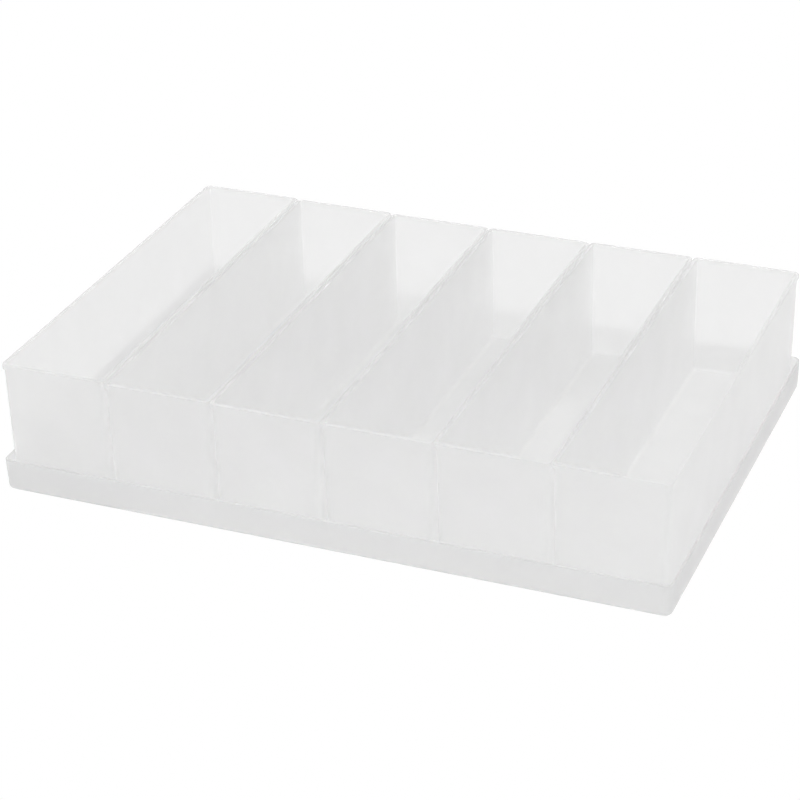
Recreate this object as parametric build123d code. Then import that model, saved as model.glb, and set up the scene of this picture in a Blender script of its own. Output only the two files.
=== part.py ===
from build123d import *

import os

# Parts sorting tray: six long open bins that stand side by side in one shallow tray.
# Millimetres, +Z up. X runs along the row of bins and Y along each bin, from front to back.
# The origin is the middle of the tray's flat underside. Every bin is a loose piece of its own.

# Tray, outside sizes at the rim
TRAY_LENGTH = 320.0
TRAY_DEPTH = 222.0
TRAY_HEIGHT = 16.0
TRAY_WALL = 1.3
TRAY_FLOOR = 1.6
TRAY_DRAFT = 0.25  # how far each wall leans in, from the rim down to the underside
TRAY_CORNER = 4.0
TRAY_BOTTOM_EDGE = 3.0
TRAY_INNER_EDGE = 1.8
TRAY_RIM_EDGE = 0.35

# Bins, outside sizes over the lip
BIN_COUNT = 6
BIN_PITCH = 52.8
BIN_WIDTH = 52.6
BIN_LENGTH = 216.0
BIN_TOP = 63.0  # above the tray's underside
BIN_WALL = 1.2
BIN_FLOOR = 1.5
BIN_DRAFT = 0.4  # how far each wall leans in, from the lip down to the floor
BIN_CORNER_TOP = 2.2
BIN_CORNER_BOTTOM = 2.8
BIN_BOTTOM_EDGE = 2.6
BIN_INNER_EDGE = 1.4

# Lip round the top of each bin
LIP_OUT = 0.8  # how far it stands out from the wall
LIP_HEIGHT = 2.3
LIP_EDGE = 0.4
MOUTH_EDGE = 0.3

# The bins fit loosely, so the row and its first bins stand a little off centre
ROW_SHIFT_X = -0.8
BIN_SHIFTS_Y = (2.0, 0.9, 0.1, 0.0, 0.3, 0.6)

BIN_HEIGHT = BIN_TOP - TRAY_FLOOR
OVERCUT = 1.0  # how far a cavity runs past the rim that it opens


def section(width, length, corner, height):
    """A rounded rectangle lying at a height."""
    return Pos(0, 0, height) * RectangleRounded(width, length, corner)


def tapered(bottom, top, z_bottom, z_top):
    """A solid between two rounded rectangles, each given as width, length and corner."""
    return loft([section(*bottom, z_bottom), section(*top, z_top)])


def bottom_edges(solid):
    return solid.faces().sort_by(Axis.Z)[0].edges()


def top_edges(solid):
    return solid.faces().sort_by(Axis.Z)[-1].edges()


def inset(size, by):
    """The same rounded rectangle with every side moved in."""
    width, length, corner = size
    return (width - 2 * by, length - 2 * by, max(corner - by, 0.5))


def past(bottom, top, z_bottom, z_top, z_end):
    """The section that the taper from bottom to top has reached at a height beyond the top."""
    share = (z_end - z_bottom) / (z_top - z_bottom)
    return tuple(b + (t - b) * share for b, t in zip(bottom, top))


def hollow(bottom, top, z_floor, z_top, edge):
    """The cavity inside a tapered wall, rounded where it meets the floor and open at the top."""
    opening = past(bottom, top, z_floor, z_top, z_top + OVERCUT)
    cavity = tapered(bottom, opening, z_floor, z_top + OVERCUT)
    return fillet(bottom_edges(cavity), edge)


def make_tray():
    rim = (TRAY_LENGTH, TRAY_DEPTH, TRAY_CORNER)
    base = (TRAY_LENGTH - 2 * TRAY_DRAFT, TRAY_DEPTH - 2 * TRAY_DRAFT, TRAY_CORNER)
    body = tapered(base, rim, 0, TRAY_HEIGHT)
    body = fillet(bottom_edges(body), TRAY_BOTTOM_EDGE)
    room = (inset(base, TRAY_WALL), inset(rim, TRAY_WALL))
    body -= hollow(*room, TRAY_FLOOR, TRAY_HEIGHT, TRAY_INNER_EDGE)
    return fillet(top_edges(body), TRAY_RIM_EDGE)


def make_bin():
    """One bin, with the middle of its underside at the origin."""
    lip = (BIN_WIDTH, BIN_LENGTH, BIN_CORNER_TOP + LIP_OUT)
    top = inset(lip, LIP_OUT)
    base = (top[0] - 2 * BIN_DRAFT, top[1] - 2 * BIN_DRAFT, BIN_CORNER_BOTTOM)
    body = tapered(base, top, 0, BIN_HEIGHT)
    body = fillet(bottom_edges(body), BIN_BOTTOM_EDGE)
    ring = extrude(section(*lip, BIN_HEIGHT - LIP_HEIGHT), LIP_HEIGHT)
    ring = fillet(top_edges(ring), LIP_EDGE)
    body += ring
    room = (inset(base, BIN_WALL), inset(top, BIN_WALL))
    body -= hollow(*room, BIN_FLOOR, BIN_HEIGHT, BIN_INNER_EDGE)
    mouth = body.faces().sort_by(Axis.Z)[-1].inner_wires()[0]
    return fillet(mouth.edges(), MOUTH_EDGE)


def bin_place(index):
    """Where the bin with this index, counted from the left, stands in the tray."""
    x = ROW_SHIFT_X + (index - (BIN_COUNT - 1) / 2) * BIN_PITCH
    return Pos(x, BIN_SHIFTS_Y[index], TRAY_FLOOR)


def main():
    os.makedirs("parts", exist_ok=True)
    export_step(make_tray(), "parts/tray.step")
    one_bin = make_bin()
    for index in range(BIN_COUNT):
        export_step(bin_place(index) * one_bin, f"parts/bin_{index + 1}.step")


main()
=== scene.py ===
"""Looks of the parts sorting tray: six long open bins of milky plastic, side by side in one shallow tray.

Metres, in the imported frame: X along the row of bins, Y along each bin to the back, Z up.
Every shell is built as rounded rectangles stacked along its wall's profile, with the size and place of
its CAD node. The sizes below are the mouldings' own; outside sizes and places come from the frame.
"""

import math

import bmesh
import bpy
from mathutils import Matrix, Vector

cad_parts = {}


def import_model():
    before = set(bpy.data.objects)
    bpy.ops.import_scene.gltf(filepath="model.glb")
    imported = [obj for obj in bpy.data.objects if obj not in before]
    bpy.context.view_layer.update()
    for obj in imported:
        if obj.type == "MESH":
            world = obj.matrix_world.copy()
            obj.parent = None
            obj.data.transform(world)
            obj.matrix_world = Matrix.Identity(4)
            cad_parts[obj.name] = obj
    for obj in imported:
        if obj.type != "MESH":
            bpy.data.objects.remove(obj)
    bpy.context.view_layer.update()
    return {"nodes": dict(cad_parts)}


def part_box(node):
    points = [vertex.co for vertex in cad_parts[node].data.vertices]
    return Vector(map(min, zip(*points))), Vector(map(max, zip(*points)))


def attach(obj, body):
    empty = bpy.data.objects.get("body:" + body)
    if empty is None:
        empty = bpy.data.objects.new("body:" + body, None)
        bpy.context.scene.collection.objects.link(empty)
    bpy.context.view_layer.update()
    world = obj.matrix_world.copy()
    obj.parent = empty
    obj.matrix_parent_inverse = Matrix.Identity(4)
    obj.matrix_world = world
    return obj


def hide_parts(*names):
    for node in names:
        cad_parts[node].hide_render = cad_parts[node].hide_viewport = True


MM = 0.001

# Tray moulding
TRAY_WALL = 1.3 * MM
TRAY_FLOOR = 1.6 * MM
TRAY_DRAFT = 0.25 * MM
TRAY_CORNER = 4.0 * MM
TRAY_BOTTOM_EDGE = 3.0 * MM
TRAY_INNER_EDGE = 1.8 * MM
TRAY_RIM_EDGE = 0.35 * MM

# Bin moulding
BIN_WALL = 1.2 * MM
BIN_FLOOR = 1.5 * MM
BIN_DRAFT = 0.4 * MM
BIN_CORNER_TOP = 2.2 * MM
BIN_CORNER_BOTTOM = 2.8 * MM
BIN_BOTTOM_EDGE = 2.6 * MM
BIN_INNER_EDGE = 1.4 * MM
LIP_OUT = 0.8 * MM
LIP_HEIGHT = 2.3 * MM
LIP_EDGE = 0.4 * MM
MOUTH_EDGE = 0.3 * MM

# Shells
CORNER_STEPS = 8
SIDE_STEPS_X = 8
SIDE_STEPS_Y = 24
EDGE_STEPS = 5
WALL_STEPS = 8
LEAST_CORNER = 0.1 * MM
SHARP_ANGLE = math.radians(40)
HAIRLINE = 0.1 * MM  # how far the bins stand off the tray's floor, and the tray off the stage

# Camera, turned left of +Y, tilted down and rolled
CAMERA_PLACE = Vector((0.3940, -0.9636, 0.5817))
CAMERA_YAW = math.radians(22.6)
CAMERA_PITCH = math.radians(28.35)
CAMERA_ROLL = math.radians(-1.41)
CAMERA_LENS = 112.2  # millimetres, on a sensor this wide
CAMERA_SENSOR = 36.0
CAMERA_REACH = (0.01, 100.0)

# Plastic: part milk and part clear, and some of the clear part lets light through unbent
BIN_MILK = 0.5
TRAY_MILK = 0.5
MILK_THROUGH = 0.95  # the share of the milk's light that comes out on the far side
MILK_COLOUR = (1.0, 1.0, 1.0, 1.0)
UNBENT_SHARE = 0.75
PLASTIC_IOR = 1.49
PLASTIC_ROUGHNESS = 0.06
PLASTIC_TINT = (0.5, 0.5, 0.5, 1.0)
BIN_DENSITY = 2.5
TRAY_DENSITY = 62.0

# The plastic's cloudiness and grain, with scales in steps per metre
CLOUD_SCALE = 40.0
CLOUD_DETAIL = 3.0
CLOUD_RANGE = (0.25, 0.75)
MILK_SPREAD = 0.01
ROUGHNESS_SPREAD = 0.01
GRAIN_SCALE = 900.0
GRAIN_DETAIL = 2.0
GRAIN_HEIGHT = 0.002 * MM

# Studio
WHITE = (1.0, 1.0, 1.0, 1.0)
FLOOR_SIZE = 12.0
FLOOR_COLOUR = (0.3, 0.3, 0.3, 1.0)
FLOOR_ROUGHNESS = 0.6
FLOOR_GLOW = 0.695
SKY_TOP = 0.78
SKY_FRONT = 0.6
SKY_BACK = 0.745
SKY_TURN = 0.8  # how far forward and back the sky goes on changing
SKY_SIDE_DROP = 0.15
SKY_RISE = 0.6  # how high the change from the horizon to the top ends
BOUNCES = 64
BLUR_GLOSSY = 0.0


# ---------------------------------------------------------------- shells


def rounded_rectangle(half_x, half_y, radius):
    """Points of a rounded rectangle, counter-clockwise, the same number whatever its size."""
    points = []
    for quarter, (sign_x, sign_y) in enumerate(((1, -1), (1, 1), (-1, 1), (-1, -1))):
        centre_x, centre_y = sign_x * (half_x - radius), sign_y * (half_y - radius)
        for step in range(CORNER_STEPS + 1):
            angle = math.radians(90 * (quarter - 1 + step / CORNER_STEPS))
            points.append((centre_x + radius * math.cos(angle), centre_y + radius * math.sin(angle)))
        steps = SIDE_STEPS_Y if quarter % 2 == 0 else SIDE_STEPS_X
        x, y = points[-1]
        end_x, end_y = sides_end(quarter, half_x, half_y, radius)
        for step in range(1, steps):
            share = step / steps
            points.append((x + (end_x - x) * share, y + (end_y - y) * share))
    return points


def sides_end(quarter, half_x, half_y, radius):
    """Where the straight side after this corner ends."""
    return (
        (half_x, half_y - radius),
        (-half_x + radius, half_y),
        (-half_x, -half_y + radius),
        (half_x - radius, -half_y),
    )[quarter]


class Wall:
    """A leaning wall: half sizes and corner radius at the bottom and the top, mixed by height."""

    def __init__(self, bottom, top, z_bottom, z_top):
        self.bottom, self.top, self.z_bottom, self.z_top = bottom, top, z_bottom, z_top

    def at(self, z):
        share = (z - self.z_bottom) / (self.z_top - self.z_bottom)
        return tuple(b + (t - b) * share for b, t in zip(self.bottom, self.top))

    def moved_in(self, by):
        thinner = [tuple(v - by for v in size) for size in (self.bottom, self.top)]
        return Wall(*thinner, self.z_bottom, self.z_top)


def station(size, inward, z):
    half_x, half_y, radius = size
    return (half_x - inward, half_y - inward, max(radius - inward, LEAST_CORNER), z)


def rounded_foot(wall, edge, z):
    """Stations from the flat underside out and up to the wall, round an edge of this radius."""
    size = wall.at(z + edge)
    stations = []
    for step in range(EDGE_STEPS + 1):
        angle = math.radians(90 * step / EDGE_STEPS)
        stations.append(station(size, edge * (1 - math.sin(angle)), z + edge * (1 - math.cos(angle))))
    return stations


def up_the_wall(wall, z_from, z_to):
    """Stations between two heights of a wall, ends left out."""
    heights = [z_from + (z_to - z_from) * step / WALL_STEPS for step in range(1, WALL_STEPS)]
    return [station(wall.at(z), 0, z) for z in heights]


def rounded_rim_edge(size, edge, z_top, outside):
    """Stations round the rim's outer edge, going up, or its inner edge, going down."""
    stations = []
    for step in range(EDGE_STEPS + 1):
        angle = math.radians(90 * step / EDGE_STEPS)
        from_side, from_top = edge * (1 - math.cos(angle)), edge * (1 - math.sin(angle))
        if outside:
            stations.append(station(size, from_side, z_top - from_top))
        else:
            stations.append(station(size, -from_top, z_top - from_side))
    return stations


def shell(name, stations, centre):
    """A closed shell through these stations, from the middle of its underside round to its inner floor."""
    mesh = bmesh.new()
    loops = []
    for half_x, half_y, radius, z in stations:
        loops.append([
            mesh.verts.new((centre.x + x, centre.y + y, z))
            for x, y in rounded_rectangle(half_x, half_y, radius)
        ])
    count = len(loops[0])
    for lower, upper in zip(loops, loops[1:]):
        for i in range(count):
            j = (i + 1) % count
            mesh.faces.new((lower[i], lower[j], upper[j], upper[i]))
    mesh.faces.new(reversed(loops[0]))
    mesh.faces.new(loops[-1])
    data = bpy.data.meshes.new(name)
    mesh.to_mesh(data)
    mesh.free()
    data.shade_smooth()
    data.set_sharp_from_angle(angle=SHARP_ANGLE)
    piece = bpy.data.objects.new(name, data)
    bpy.context.scene.collection.objects.link(piece)
    even = piece.modifiers.new("even_normals", "WEIGHTED_NORMAL")
    even.keep_sharp = True
    return piece


def node_size(node):
    """The middle, the half sizes and the lowest and highest Z of a CAD node."""
    low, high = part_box(node)
    return (low + high) / 2, (high - low) / 2, low.z, high.z


def make_tray():
    centre, half, z_low, z_high = node_size("tray")
    rim = (half.x, half.y, TRAY_CORNER)
    base = (half.x - TRAY_DRAFT, half.y - TRAY_DRAFT, TRAY_CORNER)
    outside = Wall(base, rim, z_low, z_high)
    inside = outside.moved_in(TRAY_WALL)
    z_floor = z_low + TRAY_FLOOR
    stations = rounded_foot(outside, TRAY_BOTTOM_EDGE, z_low)
    stations += up_the_wall(outside, z_low + TRAY_BOTTOM_EDGE, z_high - TRAY_RIM_EDGE)
    stations += rounded_rim_edge(outside.at(z_high), TRAY_RIM_EDGE, z_high, True)
    stations += rounded_rim_edge(inside.at(z_high), TRAY_RIM_EDGE, z_high, False)
    stations += reversed(up_the_wall(inside, z_floor + TRAY_INNER_EDGE, z_high - TRAY_RIM_EDGE))
    stations += reversed(rounded_foot(inside, TRAY_INNER_EDGE, z_floor))
    return shell("tray_shell", stations, centre)


def make_bin(node):
    centre, half, z_low, z_high = node_size(node)
    lip = (half.x, half.y, BIN_CORNER_TOP + LIP_OUT)
    top = (half.x - LIP_OUT, half.y - LIP_OUT, BIN_CORNER_TOP)
    base = (top[0] - BIN_DRAFT, top[1] - BIN_DRAFT, BIN_CORNER_BOTTOM)
    outside = Wall(base, top, z_low, z_high)
    inside = outside.moved_in(BIN_WALL)
    z_floor = z_low + BIN_FLOOR
    z_lip = z_high - LIP_HEIGHT
    stations = rounded_foot(outside, BIN_BOTTOM_EDGE, z_low + HAIRLINE)
    stations += up_the_wall(outside, z_low + BIN_BOTTOM_EDGE, z_lip)
    stations.append(station(outside.at(z_lip), 0, z_lip))
    stations.append(station(lip, 0, z_lip))
    stations += rounded_rim_edge(lip, LIP_EDGE, z_high, True)
    stations += rounded_rim_edge(inside.at(z_high), MOUTH_EDGE, z_high, False)
    stations += reversed(up_the_wall(inside, z_floor + BIN_INNER_EDGE, z_high - MOUTH_EDGE))
    stations += reversed(rounded_foot(inside, BIN_INNER_EDGE, z_floor))
    return shell(f"{node}_shell", stations, centre)


# ---------------------------------------------------------------- materials


def milky_plastic(name, milk_share, density):
    """Part clear and part milk, a little cloudy, with a fine grain and a loss of light along its depth."""
    material = bpy.data.materials.new(name)
    material.use_nodes = True
    nodes, links = material.node_tree.nodes, material.node_tree.links
    nodes.clear()
    clouds = noise(nodes, links, CLOUD_SCALE, CLOUD_DETAIL)
    grain = nodes.new("ShaderNodeBump")
    grain.inputs["Distance"].default_value = GRAIN_HEIGHT
    links.new(noise(nodes, links, GRAIN_SCALE, GRAIN_DETAIL), grain.inputs["Height"])
    clear = clear_part(nodes, links, clouds, grain.outputs[0])
    milk = milk_part(nodes, links, grain.outputs[0])
    share = spread(nodes, links, clouds, milk_share, MILK_SPREAD)
    depth = nodes.new("ShaderNodeVolumeAbsorption")
    depth.inputs["Color"].default_value = PLASTIC_TINT
    depth.inputs["Density"].default_value = density
    out = nodes.new("ShaderNodeOutputMaterial")
    links.new(mixed(nodes, links, share, clear, milk), out.inputs["Surface"])
    links.new(depth.outputs[0], out.inputs["Volume"])
    return material


def clear_part(nodes, links, clouds, normal):
    glass = nodes.new("ShaderNodeBsdfGlass")
    glass.distribution = "MULTI_GGX"
    glass.inputs["IOR"].default_value = PLASTIC_IOR
    glass.inputs["Color"].default_value = WHITE
    roughness = spread(nodes, links, clouds, PLASTIC_ROUGHNESS, ROUGHNESS_SPREAD)
    links.new(roughness, glass.inputs["Roughness"])
    links.new(normal, glass.inputs["Normal"])
    unbent = nodes.new("ShaderNodeBsdfTransparent")
    return mixed(nodes, links, UNBENT_SHARE, glass.outputs[0], unbent.outputs[0])


def milk_part(nodes, links, normal):
    sides = [nodes.new("ShaderNodeBsdfDiffuse"), nodes.new("ShaderNodeBsdfTranslucent")]
    for side in sides:
        side.inputs["Color"].default_value = MILK_COLOUR
        links.new(normal, side.inputs["Normal"])
    return mixed(nodes, links, MILK_THROUGH, sides[0].outputs[0], sides[1].outputs[0])


def mixed(nodes, links, share, first, second):
    """Two shaders mixed, with this share of the second, a number or another node's value."""
    mix = nodes.new("ShaderNodeMixShader")
    if isinstance(share, float):
        mix.inputs[0].default_value = share
    else:
        links.new(share, mix.inputs[0])
    links.new(first, mix.inputs[1])
    links.new(second, mix.inputs[2])
    return mix.outputs[0]


def noise(nodes, links, scale, detail):
    place = nodes.new("ShaderNodeTexCoord")
    texture = nodes.new("ShaderNodeTexNoise")
    texture.inputs["Scale"].default_value = scale
    texture.inputs["Detail"].default_value = detail
    links.new(place.outputs["Object"], texture.inputs["Vector"])
    return texture.outputs["Fac"]


def spread(nodes, links, texture, middle, width):
    """A value that follows a texture, this far to each side of its middle."""
    node = nodes.new("ShaderNodeMapRange")
    node.inputs["From Min"].default_value, node.inputs["From Max"].default_value = CLOUD_RANGE
    node.inputs["To Min"].default_value = middle - width
    node.inputs["To Max"].default_value = middle + width
    links.new(texture, node.inputs["Value"])
    return node.outputs[0]


def seen_bare(nodes, links):
    """1 where a backdrop is seen past the tray, 0 where it is seen through the plastic or only lights it."""
    path = nodes.new("ShaderNodeLightPath")
    bare = nodes.new("ShaderNodeMath")
    bare.operation = "SUBTRACT"
    bare.use_clamp = True
    links.new(path.outputs["Is Camera Ray"], bare.inputs[0])
    links.new(path.outputs["Transparent Depth"], bare.inputs[1])
    return bare.outputs[0]


def white_floor():
    """Pure white where it is seen past the tray, a softer white where it lights and backs the plastic."""
    material = bpy.data.materials.new("white_floor")
    material.use_nodes = True
    nodes, links = material.node_tree.nodes, material.node_tree.links
    shader = nodes["Principled BSDF"]
    shader.inputs["Base Color"].default_value = FLOOR_COLOUR
    shader.inputs["Emission Color"].default_value = WHITE
    shader.inputs["Emission Strength"].default_value = FLOOR_GLOW
    shader.inputs["Roughness"].default_value = FLOOR_ROUGHNESS
    white = nodes.new("ShaderNodeEmission")
    floor = mixed(nodes, links, seen_bare(nodes, links), shader.outputs[0], white.outputs[0])
    links.new(floor, nodes["Material Output"].inputs["Surface"])
    return material


# ---------------------------------------------------------------- the studio


def make_camera():
    data = bpy.data.cameras.new("camera")
    data.lens = CAMERA_LENS
    data.sensor_width = CAMERA_SENSOR
    data.clip_start, data.clip_end = CAMERA_REACH
    camera = bpy.data.objects.new("camera", data)
    bpy.context.scene.collection.objects.link(camera)
    forward = Vector((
        -math.sin(CAMERA_YAW) * math.cos(CAMERA_PITCH),
        math.cos(CAMERA_YAW) * math.cos(CAMERA_PITCH),
        -math.sin(CAMERA_PITCH),
    ))
    right = Vector((math.cos(CAMERA_YAW), math.sin(CAMERA_YAW), 0))
    up = right.cross(forward)
    turned_right = math.cos(CAMERA_ROLL) * right + math.sin(CAMERA_ROLL) * up
    turned_up = math.cos(CAMERA_ROLL) * up - math.sin(CAMERA_ROLL) * right
    rotation = Matrix((turned_right, turned_up, -forward)).transposed()
    camera.matrix_world = Matrix.Translation(CAMERA_PLACE) @ rotation.to_4x4()
    bpy.context.scene.camera = camera


def make_floor():
    bpy.ops.mesh.primitive_plane_add(size=FLOOR_SIZE, location=(0, 0, -HAIRLINE))
    floor = bpy.context.object
    floor.name = "floor"
    floor.data.materials.append(white_floor())


def make_light():
    """A plain soft studio, shown pure white where it is seen past the tray, as the floor is."""
    world = bpy.data.worlds.new("studio")
    bpy.context.scene.world = world
    world.use_nodes = True
    nodes, links = world.node_tree.nodes, world.node_tree.links
    sky = nodes["Background"]
    sky.inputs["Color"].default_value = WHITE
    links.new(sky_strength(nodes, links), sky.inputs["Strength"])
    white = nodes.new("ShaderNodeBackground")
    white.inputs["Color"].default_value = WHITE
    studio = mixed(nodes, links, seen_bare(nodes, links), sky.outputs[0], white.outputs[0])
    links.new(studio, nodes["World Output"].inputs["Surface"])


def sky_strength(nodes, links):
    """Brightest overhead, then behind the tray, and less bright in front of it and at its sides."""
    place = nodes.new("ShaderNodeTexCoord")
    way = nodes.new("ShaderNodeSeparateXYZ")
    links.new(place.outputs["Generated"], way.inputs[0])
    depth = eased(nodes, links, way.outputs["Y"], -SKY_TURN, SKY_TURN)
    depth.inputs["To Min"].default_value = SKY_FRONT
    depth.inputs["To Max"].default_value = SKY_BACK
    sideways = nodes.new("ShaderNodeMath")
    sideways.operation = "MULTIPLY"
    links.new(way.outputs["X"], sideways.inputs[0])
    links.new(way.outputs["X"], sideways.inputs[1])
    horizon = nodes.new("ShaderNodeMath")
    horizon.operation = "MULTIPLY_ADD"
    horizon.inputs[1].default_value = -SKY_SIDE_DROP
    links.new(sideways.outputs[0], horizon.inputs[0])
    links.new(depth.outputs[0], horizon.inputs[2])
    rise = eased(nodes, links, way.outputs["Z"], 0.0, SKY_RISE)
    rise.inputs["To Max"].default_value = SKY_TOP
    links.new(horizon.outputs[0], rise.inputs["To Min"])
    return rise.outputs[0]


def eased(nodes, links, value, start, end):
    """A node that turns smoothly from its To Min to its To Max as the value goes from start to end."""
    node = nodes.new("ShaderNodeMapRange")
    node.interpolation_type = "SMOOTHSTEP"
    node.inputs["From Min"].default_value = start
    node.inputs["From Max"].default_value = end
    links.new(value, node.inputs["Value"])
    return node


def main():
    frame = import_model()
    make_camera()
    bpy.context.scene.view_settings.view_transform = "Standard"
    cycles = bpy.context.scene.cycles
    cycles.max_bounces = cycles.diffuse_bounces = cycles.glossy_bounces = BOUNCES
    cycles.transmission_bounces = cycles.transparent_max_bounces = BOUNCES
    cycles.blur_glossy = BLUR_GLOSSY
    tray_plastic = milky_plastic("milky_tray", TRAY_MILK, TRAY_DENSITY)
    bin_plastic = milky_plastic("milky_bin", BIN_MILK, BIN_DENSITY)
    for node in sorted(frame["nodes"]):
        piece = make_tray() if node == "tray" else make_bin(node)
        piece.data.materials.append(tray_plastic if node == "tray" else bin_plastic)
        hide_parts(node)
        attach(piece, node)
    make_floor()
    make_light()


main()
